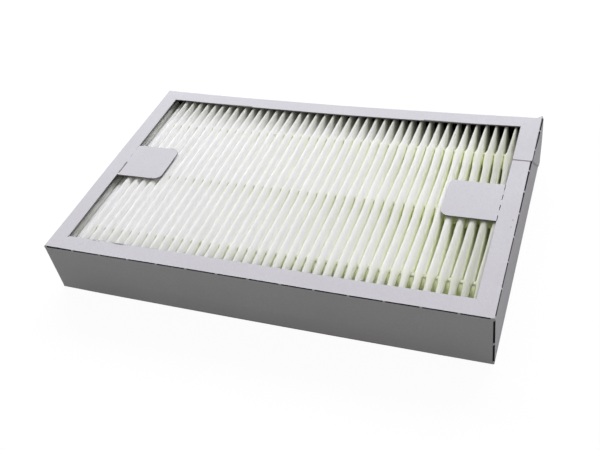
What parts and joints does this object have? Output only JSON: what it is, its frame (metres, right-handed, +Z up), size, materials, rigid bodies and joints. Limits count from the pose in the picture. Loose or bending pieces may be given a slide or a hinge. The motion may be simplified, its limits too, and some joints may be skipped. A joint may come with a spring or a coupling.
{
  "type": "hepa filter",
  "caption": "Flat rectangular air filter cartridge: mini-pleated media kept apart by glue lines, potted in a folded board frame with pull tabs.",
  "frame": {"origin": "middle of the cartridge's footprint, on its bottom rim", "axes": "+X along the long side, +Y to the back, +Z up through the pleats"},
  "size_m": [0.1912, 0.1206, 0.0261],
  "materials": {
    "frame_board": "uncoated pale grey paperboard, matt",
    "filter_media": "matt glass fibre paper, slightly wavy",
    "separator_glue": "pale yellow-green hot-melt, satin",
    "potting_glue": "near-black sealant, satin"
  },
  "bodies": {
    "root": {"frame_board": "frame_board", "pleated_media": "filter_media", "glue_line_top_back": "separator_glue", "glue_line_top_middle": "separator_glue", "glue_line_top_front": "separator_glue", "glue_line_bottom_back": "separator_glue", "glue_line_bottom_middle": "separator_glue", "glue_line_bottom_front": "separator_glue", "seal_front": "potting_glue", "seal_back": "potting_glue", "seal_left": "potting_glue", "seal_right": "potting_glue", "lap_glue": "separator_glue"}
  },
  "joints": []
}
